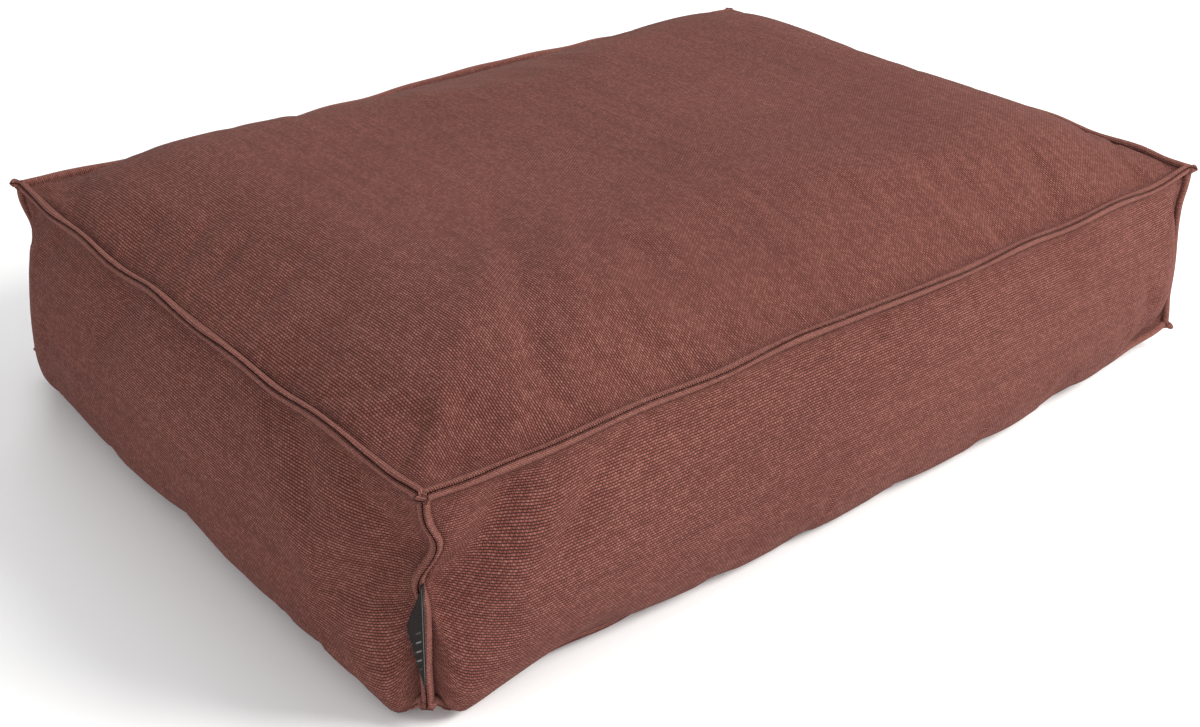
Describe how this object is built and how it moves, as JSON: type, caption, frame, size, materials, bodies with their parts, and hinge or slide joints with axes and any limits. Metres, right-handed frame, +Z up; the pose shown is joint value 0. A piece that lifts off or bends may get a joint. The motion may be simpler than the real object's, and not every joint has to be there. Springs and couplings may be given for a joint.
{
  "type": "pet cushion bed",
  "caption": "Boxed pet cushion bed with a coarse woven cover, stitched flange seams, a back zip with its slider, a side label and a filled inner casing.",
  "frame": {"origin": "middle of the footprint, on the floor under the bed", "axes": "+X along the long side, +Y towards the back with the zip, +Z up"},
  "size_m": [0.8414, 0.6155, 0.2112],
  "materials": {
    "canvas": "coarse basket weave, soft and slightly fuzzy",
    "seam_thread": "twisted polyester thread",
    "zip_tape": "fine herringbone tape",
    "zip_coil": "nylon coil",
    "zip_metal": "dark lacquer, rubbed at the edges",
    "label": "dense woven ribbon",
    "casing_cloth": "plain cotton",
    "fibre": "loose polyester fibre"
  },
  "bodies": {
    "cover": {"top_panel": "canvas", "front_panel": "canvas", "left_panel": "canvas", "right_panel": "canvas", "back_panel_upper": "canvas", "back_panel_lower": "canvas", "bottom_panel": "canvas", "top_seam_thread": "seam_thread", "bottom_seam_thread": "seam_thread", "corner_seam_threads": "seam_thread", "zip_tape_upper": "zip_tape", "zip_tape_lower": "zip_tape", "zip_coil_upper": "zip_coil", "zip_coil_lower": "zip_coil", "zip_top_stops": "zip_metal", "zip_bottom_stop": "zip_metal", "zip_stitching": "seam_thread", "zip_bar_tacks": "seam_thread", "care_label": "casing_cloth", "casing_top": "casing_cloth", "casing_band": "casing_cloth", "casing_bottom": "casing_cloth", "casing_seam_threads": "casing_cloth", "fibre_fill": "fibre"},
    "slider": {"zip_slider": "zip_metal"},
    "pull": {"zip_pull": "zip_metal"},
    "label": {"side_label": "label"}
  },
  "joints": [
    {"name": "zip_slide", "type": "slide", "parent": "cover", "child": "slider", "axis": [1, 0, 0], "range_m": [0, 0.536]},
    {"name": "pull_swing", "type": "hinge", "parent": "slider", "child": "pull", "pos_m": [-0.268, 0.30747, 0.08379], "axis": [0, 0, 1], "range_deg": [0, 165]},
    {"name": "label_flap", "type": "hinge", "parent": "cover", "child": "label", "pos_m": [-0.40078, -0.28578, 0.07], "axis": [0, 0, 1], "range_deg": [-40, 80], "stiffness_Nm_per_rad": 0.0002}
  ]
}
